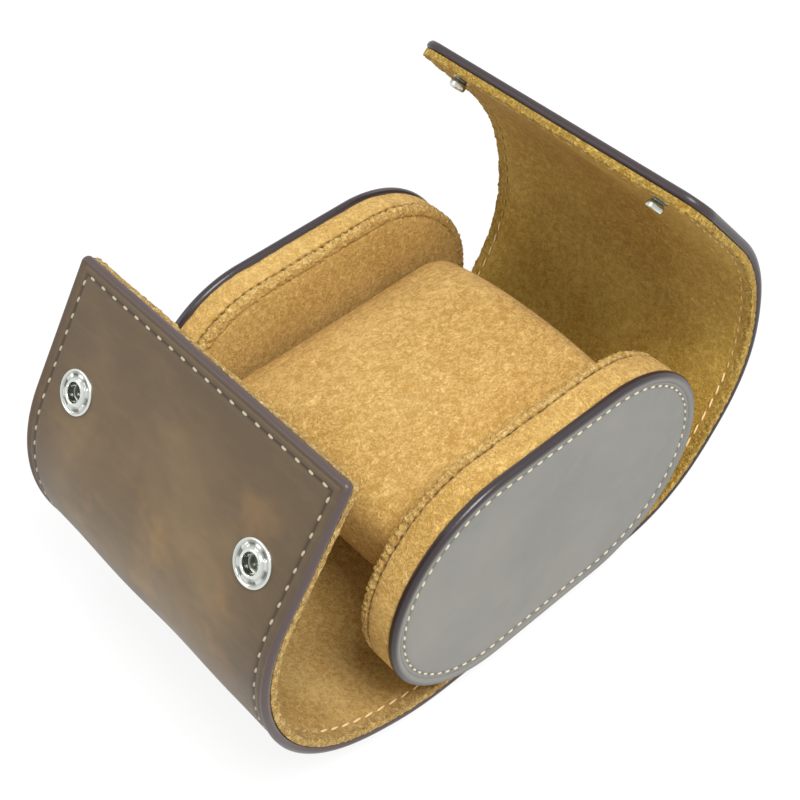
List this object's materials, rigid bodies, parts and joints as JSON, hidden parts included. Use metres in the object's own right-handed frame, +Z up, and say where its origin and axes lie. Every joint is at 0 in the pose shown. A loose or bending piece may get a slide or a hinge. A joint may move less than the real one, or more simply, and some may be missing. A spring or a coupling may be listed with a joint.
{
  "type": "watch travel case",
  "caption": "Soft roll travel case for a wrist watch: leather and suede wrap with padded ends, snap-closed flaps and a lift-out cushion.",
  "frame": {"origin": "middle of the underside of the base, on the ground", "axes": "X along the case from padded end to padded end, +Y towards the back flap that carries the studs, +Z up"},
  "size_m": [0.092, 0.1547, 0.1066],
  "materials": {
    "leather": "smooth, oiled, semi-matte",
    "suede": "napped",
    "board": "matte",
    "foam": "matte",
    "nickel": "polished"
  },
  "bodies": {
    "base": {"base_leather": "leather", "base_board": "board", "base_lining": "suede", "left_pad_face": "leather", "left_pad_board": "board", "left_pad_foam": "foam", "left_pad_gusset": "suede", "left_pad_panel": "suede", "left_pad_welt": "suede", "right_pad_face": "leather", "right_pad_board": "board", "right_pad_foam": "foam", "right_pad_gusset": "suede", "right_pad_panel": "suede", "right_pad_welt": "suede"},
    "front_lower": {"front_lower_leather": "leather", "front_lower_board": "board", "front_lower_lining": "suede"},
    "front_middle": {"front_middle_leather": "leather", "front_middle_board": "board", "front_middle_lining": "suede"},
    "front_upper": {"front_upper_leather": "leather", "front_upper_board": "board", "front_upper_lining": "suede", "snap_sockets": "nickel", "snap_springs": "nickel", "socket_eyelets": "nickel"},
    "back_lower": {"back_lower_leather": "leather", "back_lower_board": "board", "back_lower_lining": "suede"},
    "back_middle": {"back_middle_leather": "leather", "back_middle_board": "board", "back_middle_lining": "suede"},
    "back_upper": {"back_upper_leather": "leather", "back_upper_board": "board", "back_upper_lining": "suede", "snap_studs": "nickel", "stud_posts": "nickel"},
    "cushion": {"cushion_cover": "suede", "cushion_core": "foam", "cushion_underside": "suede"}
  },
  "joints": [
    {"name": "front_fold_1", "type": "hinge", "parent": "base", "child": "front_lower", "pos_m": [0, -0.02824, 0.00235], "axis": [-1, 0, 0], "range_deg": [-5, 28.5]},
    {"name": "front_fold_2", "type": "hinge", "parent": "front_lower", "child": "front_middle", "pos_m": [0, -0.05155, 0.00699], "axis": [-1, 0, 0], "range_deg": [-2.39, 12.7]},
    {"name": "front_fold_3", "type": "hinge", "parent": "front_middle", "child": "front_upper", "pos_m": [0, -0.07749, 0.03457], "axis": [-1, 0, 0], "range_deg": [-2.57, 13.7]},
    {"name": "back_fold_1", "type": "hinge", "parent": "base", "child": "back_lower", "pos_m": [0, 0.03073, 0.00257], "axis": [1, 0, 0], "range_deg": [-5, 25]},
    {"name": "back_fold_2", "type": "hinge", "parent": "back_lower", "child": "back_middle", "pos_m": [0, 0.06052, 0.01858], "axis": [1, 0, 0], "range_deg": [-1.4, 6.2]},
    {"name": "back_fold_3", "type": "hinge", "parent": "back_middle", "child": "back_upper", "pos_m": [0, 0.07107, 0.05419], "axis": [1, 0, 0], "range_deg": [-3.6, 17.2]},
    {"name": "cushion_lift", "type": "slide", "parent": "base", "child": "cushion", "axis": [0, 0, 1], "range_m": [-0.016, 0.008]}
  ],
  "couplings": [
    {"joint": "front_fold_2", "follows": "front_fold_1", "ratio": 0.4386},
    {"joint": "front_fold_3", "follows": "front_fold_1", "ratio": 0.47368},
    {"joint": "back_fold_2", "follows": "back_fold_1", "ratio": 0.24},
    {"joint": "back_fold_3", "follows": "back_fold_1", "ratio": 0.68}
  ]
}
